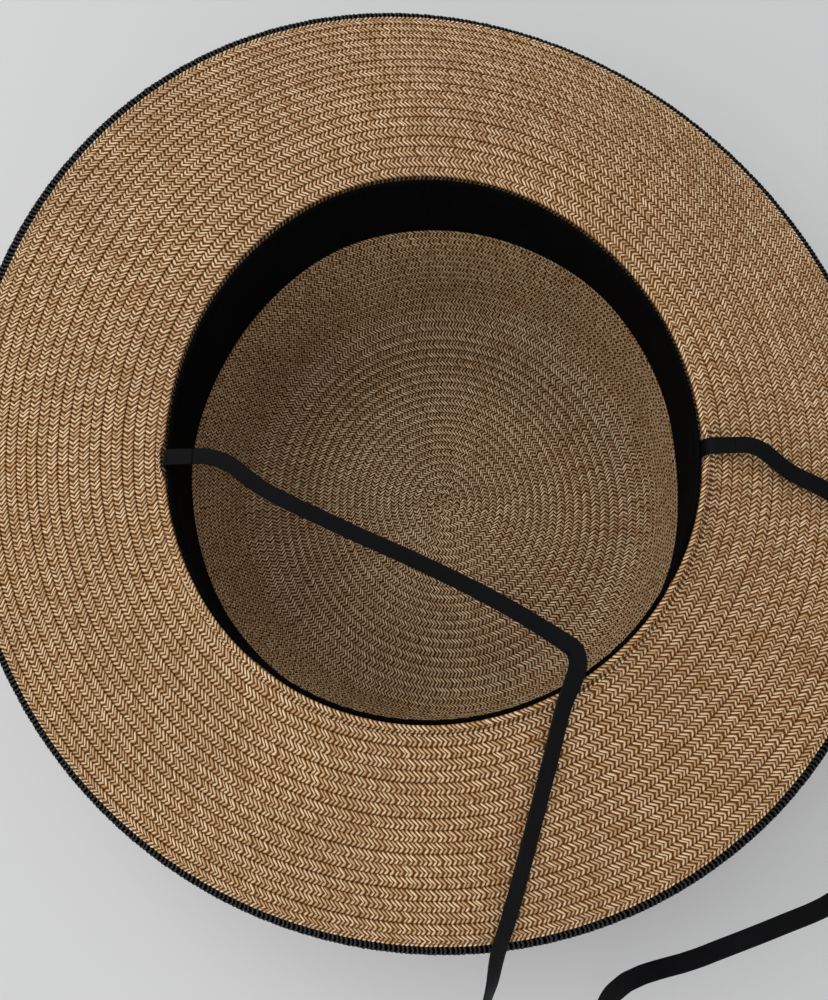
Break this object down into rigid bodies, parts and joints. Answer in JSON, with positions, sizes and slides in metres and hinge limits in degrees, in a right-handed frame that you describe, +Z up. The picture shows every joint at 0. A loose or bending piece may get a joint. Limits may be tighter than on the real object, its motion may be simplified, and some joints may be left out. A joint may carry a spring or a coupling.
{
  "type": "straw sun hat",
  "caption": "Wide-brimmed sun hat of spirally sewn straw braid with a black rim row, inner sweatband and a chin strap that swings over the head opening.",
  "frame": {"origin": "on the flat face of the crown tip, which rests on the table, straight below the centre of the head opening", "axes": "+Z up out of the head opening with the hat lying crown-down, X from ear to ear through the strap's anchors, Y from front to back"},
  "size_m": [0.3403, 0.3623, 0.1081],
  "materials": {
    "straw_braid": "woven natural paper straw, semi-matt",
    "black_braid": "woven black paper straw, semi-matt",
    "black_cloth": "matt close-woven cloth",
    "black_tape": "ribbed woven tape with a slight sheen",
    "black_thread": "twisted thread",
    "straw_thread": "twisted thread",
    "spring_wire": "drawn"
  },
  "bodies": {
    "hat": {"crown": "straw_braid", "brim": "straw_braid", "rim_braid": "black_braid", "brim_wire": "spring_wire", "sweatband": "black_cloth", "sweatband_stitching": "black_thread", "sweatband_seam": "black_thread", "headline_stitching": "straw_thread", "rim_stitching": "straw_thread", "strap_end_left": "black_tape", "strap_end_right": "black_tape", "strap_tack_left": "black_thread", "strap_tack_right": "black_thread"},
    "strap": {"chin_strap": "black_tape"}
  },
  "joints": [
    {"name": "chin_strap_swing", "type": "hinge", "parent": "hat", "child": "strap", "pos_m": [0, -0.0055, 0.09499], "axis": [-1, 0, 0], "range_deg": [0, 165]}
  ]
}
